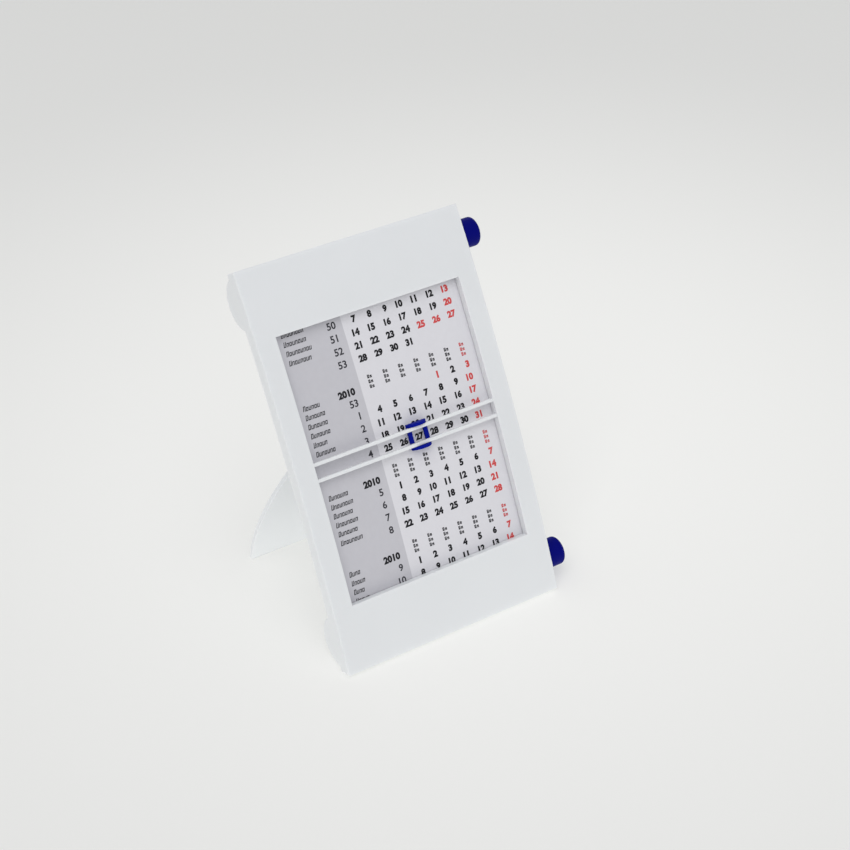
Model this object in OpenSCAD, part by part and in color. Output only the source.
// Desk calendar with a paper strip on two rollers, leaning on a folding leg.
// X runs to the right, Y to the back and Z up; the case faces -Y and stands on Z = 0.

/* [Case] */
// Width of the case, without its knobs
case_w = 110; // [98:1:140]
// Height of the front, measured along its bow
case_h = 180.5; // [172:0.5:220]
// Radius of the bow, about a level axis behind the case
bow_r = 982; // [700:2:2000]
// Depth of the front cover's rim
rim_depth = 6.9; // [6.6:0.1:9]
// Thickness of the moulded walls
wall = 1.8; // [1.4:0.1:2.2]
// Width of the ledge in the rim that the rear cover seats on
ledge = 1.2; // [0.8:0.1:2]
// Rounding of the case's four corners
corner_r = 1.2; // [0.8:0.1:5]
// Rounding of the front edges
edge_r = 0.4; // [0.3:0.1:1.4]
// Gap between the rear cover and the rim around it
cover_gap = 0.15; // [0.1:0.05:0.3]
// Thickness of the rear cover's plate, the bed that the paper slides on
plate_t = 1.6; // [1.2:0.1:2]
// Thickness of the lips along the rear cover's sides
lip_t = 1.4; // [1:0.1:2]
// Width of the flat that the rim's lower edge stands on
land_w = 1.7; // [1:0.1:2.4]
// How far the case leans back from upright
lean = 27; // [20:0.5:34]

/* [Window] */
// Border of the case at each side of the window
side_margin = 9.5; // [8:0.5:16]
// Border of the case above the window, along the bow
top_margin = 30.9; // [29.5:0.1:42]
// Border of the case below the window, along the bow
bottom_margin = 29.4; // [28.5:0.1:42]
// Thickness of the flange around the window
flange_t = 1.2; // [0.8:0.1:1.6]
// How far the flange stays in front of the paper
flange_clear = 0.5; // [0.3:0.1:0.8]
// Width of each crossbar
bar_w = 1.45; // [1.2:0.05:2.5]
// Thickness of each crossbar
bar_t = 1.8; // [1.2:0.1:2]
// Gap between the crossbars
bar_gap = 5.65; // [4:0.05:8]
// How far the crossbars lie below the front
bar_sink = 0.3; // [0:0.1:0.6]

/* [Paper] */
// Length of core left bare at each edge of the strip
paper_side = 1.9; // [1:0.1:3]
// Thickness of the paper
paper_t = 0.15; // [0.1:0.01:0.16]
// Air between the paper and its bed
paper_gap = 0.15; // [0.1:0.05:0.3]
// Length of strip wound on the upper roller
upper_wound = 120; // [60:10:600]
// Length of strip wound on the lower roller
lower_wound = 560; // [60:10:600]
// Air between the free strip and the rolls
roll_gap = 0.3; // [0.2:0.05:0.5]

/* [Rollers] */
// Outer radius of each roll housing
housing_r = 11.9; // [11.5:0.1:13]
// Depth of a housing's centre behind the front
housing_sink = 6; // [5.5:0.1:7]
// Rounding of the ends of the housings
housing_edge_r = 1.2; // [0.5:0.1:1.5]
// How far a housing's ends stay inside the case's sides
housing_inset = 0.4; // [0.2:0.1:1]
// Thickness of the webs that the rollers turn in
web_t = 1.8; // [1.4:0.1:2.4]
// Radius of a roller's core
core_r = 3.2; // [2.9:0.1:3.6]
// End play of a roller between its webs
end_play = 0.35; // [0.2:0.05:0.6]
// Width of the slit that takes the end of the strip
slit_w = 0.6; // [0.4:0.1:1]
// Radius of the journals that the rollers turn on
journal_r = 2.5; // [2.1:0.1:2.8]
// Radial clearance of everything that turns
run_clear = 0.06; // [0.03:0.01:0.1]
// Radius of the tangs that plug into a core
tang_r = 1.9; // [1.5:0.1:2]
// Height of the flat on a tang, above its axis
tang_flat = 1.3; // [1:0.1:1.4]
// Length of a tang
tang_l = 12; // [8:1:20]

/* [Knobs] */
// Radius of a knob
knob_r = 6.65; // [5:0.05:8]
// Length of a knob up to its shoulder
knob_l = 7.4; // [4:0.1:12]
// Height of the dome beyond the shoulder
dome_h = 3.1; // [2.4:0.1:4.5]
// Rounding of the shoulder
shoulder_r = 1.6; // [1:0.1:2]
// Gap between a knob and the case
knob_gap = 0.3; // [0.2:0.1:0.6]

/* [Cursor] */
// Where the cursor stands, to the right of the case's middle
cursor_x = 6.8; // [-30:0.1:30]
// Width of the cursor
cursor_w = 9.8; // [8:0.1:13]
// Width of each post
post_w = 1.9; // [1.4:0.1:2.4]
// Thickness of each post
post_t = 1; // [0.8:0.1:1.2]
// Thickness of each grip
grip_t = 1.4; // [0.9:0.1:2]
// How far a grip bulges forward from the back of the posts
grip_bulge = 4.3; // [3:0.1:4.7]
// Sliding gap between the cursor and the crossbars
slide_gap = 0.15; // [0.1:0.05:0.25]
// Air between the posts and the paper
post_clear = 0.9; // [0.4:0.05:1]

/* [Leg] */
// Height of the leg's hinge above the lower edge, along the bow
hinge_up = 112; // [104:1:118]
// Angle between the case and the opened leg
leg_open = 51; // [44:0.5:58]
// How far the leg's widest place stays inside the case's sides
leg_inset = 3.6; // [3:0.1:14]
// Height above the foot where the leg is widest
leg_belly = 17; // [6:0.5:30]
// Radius of the leg's upper curve
leg_top_r = 29.7; // [26:0.1:36]
// Thickness of the leg
leg_t = 2; // [1.6:0.1:2.4]
// Radius of the hinge barrel
barrel_r = 2.6; // [2.2:0.1:3]
// Length of the hinge barrel
barrel_l = 31; // [30.5:0.5:40]
// Radius of the leg's pivot pins
pivot_r = 1.5; // [1.2:0.1:1.8]
// Thickness of each hinge ear
ear_t = 3; // [2:0.1:4]
// Wall of a hinge ear around its bore
ear_wall = 1.4; // [1:0.1:2]
// Gap between the barrel and an ear
ear_gap = 0.3; // [0.2:0.05:0.5]
// Gap between the barrel and the rear cover's plate
hinge_gap = 0.4; // [0.3:0.1:0.8]
// How far the heel that stops the leg ends before the barrel does
heel_inset = 1.5; // [0.5:0.5:6]
// Height of the heel
heel_h = 4; // [3:0.5:6]
// Air left at the heel's stop face
stop_gap = 0.05; // [0.03:0.01:0.1]

/* [Snaps] */
// Radius of the snap beads along the rear cover's sides
bead_r = 0.55; // [0.4:0.05:0.7]
// How far a bead's axis lies inside the cover's edge
bead_in = 0.2; // [0.1:0.05:0.3]
// Length of a snap bead
bead_l = 14; // [8:1:20]
// Spacing of the snap beads up the case
bead_pitch = 46; // [30:1:48]

/* [Hidden] */
$fn = 96;
arc_fn = 720;
strip_steps = 24;
arc_steps = 40;
over = 1;
far = 1.2 * bow_r;

// Depths below the front, from the crossbars back to the bed
post_depth = bar_sink + bar_t + slide_gap;
paper_depth = post_depth + post_t + post_clear;
bed_depth = paper_depth + paper_t + paper_gap;
flange_depth = paper_depth - flange_clear;

// Case
half_w = case_w / 2;
half_h = case_h / 2;
inner = wall + ledge;
cover_half = half_w - wall - cover_gap;
web_in = cover_half - web_t;
window_w = case_w - 2 * side_margin;
window_top = half_h - top_margin;
window_bottom = bottom_margin - half_h;
window_mid = (window_top + window_bottom) / 2;
bar_s = (bar_gap + bar_w) / 2;
bead_depth = rim_depth - bead_r - cover_gap - wall / 4;

// Rollers
axis_s = half_h - wall - cover_gap - housing_r;
axis_depth = (housing_sink + housing_r) / 2;
chamber_r = housing_r - wall;
bed_end = axis_s - sqrt(pow(chamber_r, 2) - pow(housing_sink - bed_depth, 2));
core_half = web_in - end_play;
paper_w = 2 * (core_half - paper_side);
upper_r = wound_r(upper_wound);
lower_r = wound_r(lower_wound);
journal_end = cover_half - end_play;

// Knob dome: a crown arc that runs into the shoulder's arc
crown_a = knob_r - shoulder_r;
crown_d = (pow(crown_a, 2) - pow(dome_h - shoulder_r, 2)) / (2 * (dome_h - shoulder_r));
crown_r = crown_d + dome_h;
crown_edge = crown_a * crown_r / (crown_r - shoulder_r);

// Cursor
grip_s = bar_gap / 2 + bar_w + slide_gap;
grip_r = (pow(cursor_w / 2, 2) + pow(grip_bulge, 2)) / (2 * grip_bulge);
grip_back = post_depth + post_t;

// Hinge of the leg
hinge_s = hinge_up - half_h;
hinge_depth = bed_depth + plate_t + hinge_gap + barrel_r;
ear_r = pivot_r + run_clear + ear_wall;
ear_in = barrel_l / 2 + ear_gap;
ear_out = ear_in + ear_t;
heel_l = barrel_l - 2 * heel_inset;
heel_reach = hinge_gap + barrel_r - stop_gap;

// Standing: the rim's lower edge is trimmed to the floor, and the leg reaches down to it
end_lean = lean - turn(half_h);
land_cut = land_w * sin(end_lean) * cos(end_lean);
rim_foot = leaned(bow_point(-half_h, rim_depth));
floor_z = rim_foot[1] + land_cut;
hinge_at = leaned(bow_point(hinge_s, hinge_depth));
hinge_z = hinge_at[1] - floor_z;
leg_tilt = leg_open - lean;
leg_l = hinge_z / cos(leg_tilt);

// Arch of the leg: side arcs that run into the upper arc
arch_a = half_w - leg_inset;
arch_b = leg_l - leg_belly;
arch_rise = pow(arch_a, 2) + pow(arch_b - leg_top_r, 2) - pow(leg_top_r, 2);
leg_side_r = arch_rise / (2 * (arch_a - leg_top_r));
arch_join = acos((leg_side_r - arch_a) / (leg_side_r - leg_top_r));
arch_foot = asin((leg_belly + leg_t) / leg_side_r);

// Origin: the middle of the standing calendar's outline on the floor
front_y = leaned(bow_point(-half_h + edge_r, edge_r))[0] - edge_r;
foot_y = hinge_at[0] + hinge_z * tan(leg_tilt) + leg_t / 2 / cos(leg_tilt);
housing_y = leaned(bow_point(axis_s, housing_sink))[0] + housing_r;
back_y = max(foot_y, housing_y);
shift = [-(knob_gap + knob_l + dome_h) / 2, -(front_y + back_y) / 2, -floor_z];

// Angle of a length along the bow
function turn(s) = s / bow_r * 180 / PI;
// Place on the bow, as depth and height, from a length along it and a depth below the front
function bow_point(s, d) = [bow_r - (bow_r - d) * cos(turn(s)), (bow_r - d) * sin(turn(s))];
// A depth and height of the upright case, once it leans back
function leaned(p) = [p[0] * cos(lean) + p[1] * sin(lean), p[1] * cos(lean) - p[0] * sin(lean)];
// Outer radius of a strip wound on a core
function wound_r(length) = sqrt(pow(core_r, 2) + length * paper_t / PI);

// Stands an upright case on the floor
module standing() translate(shift) rotate([-lean, 0, 0]) children();

// Carries children to a place on the bow, with Y going in and Z up along it
module at_bow(s, d) {
    translate([0, bow_r, 0]) rotate([-turn(s), 0, 0])
        translate([0, d - bow_r, 0]) children();
}

// A solid across the case, from an outline of depths and heights
module across(x0, x1) {
    translate([x0, 0, 0]) rotate([90, 0, 90])
        linear_extrude(x1 - x0) children();
}

// A round bar across the case, on a place of the bow
module bar_across(s, d, r, x0, x1) {
    at_bow(s, d) translate([x0, 0, 0]) rotate([0, 90, 0])
        cylinder(r = r, h = x1 - x0);
}

// The band between two depths and two heights along the bow
module bow_band(d0, d1, s0, s1) {
    intersection() {
        translate([bow_r, 0]) difference() {
            circle(bow_r - d0, $fn = arc_fn);
            circle(bow_r - d1, $fn = arc_fn);
        }
        polygon([[bow_r, 0], bow_ray(s0), bow_ray(s1)]);
    }
}
function bow_ray(s) = [bow_r - far * cos(turn(s)), far * sin(turn(s))];

// A block that follows the bow
module bow_block(x, d0, d1, s0, s1) {
    across(-x, x) bow_band(d0, d1, s0, s1);
}

// Everything below the floor
module below_floor() {
    translate([-2 * case_w, -2 * case_h, -case_h])
        cube([4 * case_w, 4 * case_h, case_h]);
}

// What a rounding takes off a corner at the origin
module nook(r) {
    difference() {
        translate([-r, -r]) square(r + over);
        translate([-r, -r]) circle(r);
    }
}

// The front cover's full form: a section swept along the bow, with rounded ends and corners
module case_form() {
    sweep = turn(half_h + over);
    difference() {
        intersection() {
            translate([0, bow_r, 0]) rotate([-90, 0, 0]) rotate([0, 90, 0]) rotate(-sweep)
                rotate_extrude(angle = 2 * sweep, $fn = arc_fn)
                    translate([bow_r, 0]) rotate(90) case_section();
            across(-case_w, case_w) case_profile();
        }
        for (end = [-1, 1], side = [-1, 1])
            at_bow(end * half_h, 0) mirror([0, 0, end < 0 ? 1 : 0]) mirror([side < 0 ? 1 : 0, 0, 0])
                translate([half_w, rim_depth + over, 0]) rotate([90, 0, 0])
                    linear_extrude(rim_depth + 2 * over) nook(corner_r);
    }
}

// Section across the case: the rim's depth, with the front edges rounded
module case_section() {
    difference() {
        translate([-half_w, 0]) square([case_w, rim_depth]);
        for (side = [0, 1])
            mirror([side, 0]) translate([half_w, 0]) mirror([0, 1]) nook(edge_r);
    }
}

// Profile from the side: the bowed rim, with the ends' front edges rounded
module case_profile() {
    difference() {
        bow_band(-over, rim_depth + over, -half_h, half_h);
        for (end = [0, 1])
            mirror([0, end]) translate(bow_point(half_h, 0)) rotate(-turn(half_h))
                mirror([1, 0]) nook(edge_r);
    }
}

// Front cover: bowed tray with the window, its flange and the two crossbars
module front_cover() {
    color("#dfe3e4") difference() {
        standing() difference() {
            union() {
                difference() {
                    case_form();
                    bow_block(half_w - inner, wall, bed_depth, inner - half_h, half_h - inner);
                    bow_block(half_w - wall, bed_depth, rim_depth + over, wall - half_h, half_h - wall);
                }
                bow_block(window_w / 2 + flange_t, wall / 2, flange_depth,
                    window_bottom - flange_t, window_top + flange_t);
            }
            difference() {
                bow_block(window_w / 2, -over, flange_depth + over, window_bottom, window_top);
                for (mid = [window_mid - bar_s, window_mid + bar_s])
                    bow_block(case_w, bar_sink, bar_sink + bar_t, mid - bar_w / 2, mid + bar_w / 2);
            }
            for (end = [-1, 1])
                bar_across(end * axis_s, axis_depth, journal_r + knob_gap, cover_half, half_w + over);
            snap_beads(bead_r + cover_gap);
        }
        below_floor();
    }
}

// Snap beads up both sides of the rear cover, or with more radius the grooves that take them
module snap_beads(r) {
    length = bead_l + 2 * (r - bead_r);
    for (side = [-1, 1], k = [-1:1])
        at_bow(k * bead_pitch, bead_depth)
            translate([side * (cover_half - bead_in), 0, -length / 2]) cylinder(r = r, h = length);
}

// A roll housing's outside, with rounded ends
module housing(end) {
    half_l = half_w - housing_inset;
    at_bow(end * axis_s, housing_sink) rotate([0, 90, 0])
        rotate_extrude() difference() {
            translate([0, -half_l]) square([housing_r, 2 * half_l]);
            for (side = [0, 1])
                mirror([0, side]) translate([housing_r, half_l]) nook(housing_edge_r);
        }
}

// Rear cover: the paper's bed, two roll housings with bearing webs, and the leg's hinge ears
module rear_cover() {
    color("#d9dddf") standing() difference() {
        union() {
            difference() {
                union() {
                    bow_block(half_w, bed_depth, bed_depth + plate_t, -axis_s, axis_s);
                    for (end = [-1, 1])
                        intersection() {
                            housing(end);
                            bow_block(case_w, bed_depth, 2 * housing_r, -half_h, half_h);
                        }
                    for (side = [0, 1])
                        mirror([side, 0, 0]) across(cover_half - lip_t, half_w)
                            bow_band(bed_depth, rim_depth, -axis_s, axis_s);
                }
                for (side = [0, 1])
                    mirror([side, 0, 0]) across(cover_half, case_w)
                        bow_band(-over, rim_depth + cover_gap, -case_h, case_h);
            }
            for (side = [0, 1]) mirror([side, 0, 0]) hinge_ear();
            snap_beads(bead_r);
        }
        for (end = [-1, 1]) {
            bar_across(end * axis_s, housing_sink, chamber_r, -web_in, web_in);
            bar_across(end * axis_s, axis_depth, journal_r + run_clear, -cover_half - end_play, half_w);
        }
        bar_across(hinge_s, hinge_depth, pivot_r + run_clear, -ear_out - over, ear_out + over);
    }
}

// Right hinge ear, standing on the rear cover's plate
module hinge_ear() {
    drop = hinge_depth - bed_depth - plate_t / 2;
    at_bow(hinge_s, hinge_depth) translate([ear_in, 0, 0]) {
        rotate([0, 90, 0]) cylinder(r = ear_r, h = ear_t);
        translate([0, -drop, -ear_r]) cube([ear_t, drop, 2 * ear_r]);
    }
}

// Date cursor: two posts behind the crossbars, joined above and below by rounded grips
module date_cursor() {
    color("#1c34b0") standing() at_bow(window_mid, 0) translate([cursor_x, 0, 0]) {
        post_top = grip_s + grip_t;
        for (side = [-1, 1])
            translate([side * (cursor_w - post_w) / 2 - post_w / 2, post_depth, -post_top])
                cube([post_w, post_t, 2 * post_top]);
        for (side = [0, 1])
            mirror([0, 0, side]) translate([0, 0, grip_s]) linear_extrude(grip_t) grip_plan();
    }
}

// Plan of a grip: a round bulge, cut straight at the back of the posts
module grip_plan() {
    intersection() {
        translate([0, grip_back - grip_bulge + grip_r]) circle(grip_r);
        translate([-cursor_w / 2, grip_back - grip_bulge - over]) square([cursor_w, grip_bulge + over]);
    }
}

// Leg: arched plate with a barrel, two pivot pins and a heel that stops it against the rear cover
module stand_leg() {
    color("#e3e6e6") difference() {
        union() {
            translate(shift + [0, hinge_at[0], hinge_at[1]]) rotate([leg_tilt, 0, 0]) {
                difference() {
                    rotate([90, 0, 0]) linear_extrude(leg_t, center = true) leg_outline();
                    for (side = [0, 1])
                        mirror([side, 0, 0]) translate([ear_in - 2 * ear_gap, 0, 0]) rotate([0, 90, 0])
                            cylinder(r = ear_r + 2 * ear_gap, h = ear_t + 3 * ear_gap);
                }
                rotate([0, 90, 0]) cylinder(r = barrel_r, h = barrel_l, center = true);
                rotate([0, 90, 0]) cylinder(r = pivot_r, h = 2 * ear_out, center = true);
            }
            standing() at_bow(hinge_s, hinge_depth) translate([-heel_l / 2, -heel_reach, 0])
                cube([heel_l, heel_reach, heel_h]);
        }
        below_floor();
    }
}

// Outline of the leg, seen square on with the hinge at the origin: two side arcs closed by a top arc
module leg_outline() {
    side = arc([arch_a - leg_side_r, leg_belly - leg_l], leg_side_r, -arch_foot, arch_join);
    top = arc([0, -leg_top_r], leg_top_r, arch_join, 90);
    right = concat(side, top);
    polygon(concat(right, [for (k = [len(right) - 1:-1:0]) [-right[k][0], right[k][1]]]));
}
function arc(c, r, a0, a1) = [for (k = [0:arc_steps]) c + r * turned(a0 + (a1 - a0) * k / arc_steps)];
function turned(a) = [cos(a), sin(a)];

// Roller core: tube with a flatted bore for the tangs and a slit for the end of the strip
module roller(end) {
    color("#eceeee") standing() at_bow(end * axis_s, axis_depth) rotate([0, 90, 0]) difference() {
        cylinder(r = core_r, h = 2 * core_half, center = true);
        linear_extrude(2 * core_half + over, center = true) flatted(run_clear);
        translate([-core_r - over, -slit_w / 2, -paper_w / 2]) cube([core_r + over, slit_w, paper_w]);
    }
}
module upper_roller() roller(1);
module lower_roller() roller(-1);

// Section of a tang: a round with one flat
module flatted(clear) {
    intersection() {
        circle(tang_r + clear);
        translate([-2 * tang_r, -2 * tang_r]) square([2 * tang_r + tang_flat + clear, 4 * tang_r]);
    }
}

// Knob: turned form with a domed end, the journal that turns in the web, and the tang in the core
module knob(end) {
    base = half_w + knob_gap;
    color("#13218f") standing() at_bow(end * axis_s, axis_depth) rotate([0, 90, 0]) {
        translate([0, 0, base]) rotate_extrude() {
            square([knob_r, knob_l]);
            square([crown_a, knob_l + shoulder_r]);
            translate([crown_a, knob_l]) intersection() {
                circle(shoulder_r);
                square(shoulder_r);
            }
            intersection() {
                translate([0, knob_l - crown_d]) circle(crown_r);
                translate([0, knob_l]) square([crown_edge, dome_h]);
            }
        }
        translate([0, 0, core_half]) cylinder(r = journal_r, h = base - core_half + over);
        translate([0, 0, core_half - tang_l]) linear_extrude(tang_l + over) flatted(0);
    }
}
module upper_knob() knob(1);
module lower_knob() knob(-1);

// End plug: the left journal, with its tang in the core
module end_plug(end) {
    color("#eceeee") standing() at_bow(end * axis_s, axis_depth) rotate([0, 90, 0]) {
        translate([0, 0, -journal_end]) cylinder(r = journal_r, h = journal_end - core_half);
        translate([0, 0, -core_half - over / 2]) linear_extrude(tang_l) flatted(0);
    }
}
module upper_end_plug() end_plug(1);
module lower_end_plug() end_plug(-1);

// Free stretch of the strip: over the bed along the bow, then straight to the front of each roll
module paper_web() {
    front = strip_line(0);
    back = strip_line(paper_t);
    last = len(back) - 1;
    color("#e4e4e8") standing() across(-paper_w / 2, paper_w / 2)
        polygon(concat(front, [for (k = [last:-1:0]) back[k]]));
}
function strip_line(d) = concat(
    [bow_point(-axis_s, roll_front(lower_r) + d)],
    [for (k = [-strip_steps:strip_steps]) bow_point(bed_end * k / strip_steps, paper_depth + d)],
    [bow_point(axis_s, roll_front(upper_r) + d)]);
function roll_front(r) = axis_depth - r - roll_gap - paper_t;

// Strip wound on a roller's core
module paper_roll(end, r) {
    color("#e4e4e8") standing() at_bow(end * axis_s, axis_depth) rotate([0, 90, 0]) difference() {
        cylinder(r = r, h = paper_w, center = true);
        cylinder(r = core_r + run_clear / 2, h = paper_w + over, center = true);
    }
}
module upper_paper_roll() paper_roll(1, upper_r);
module lower_paper_roll() paper_roll(-1, lower_r);

front_cover();
rear_cover();
date_cursor();
stand_leg();
upper_roller();
lower_roller();
upper_knob();
lower_knob();
upper_end_plug();
lower_end_plug();
paper_web();
upper_paper_roll();
lower_paper_roll();
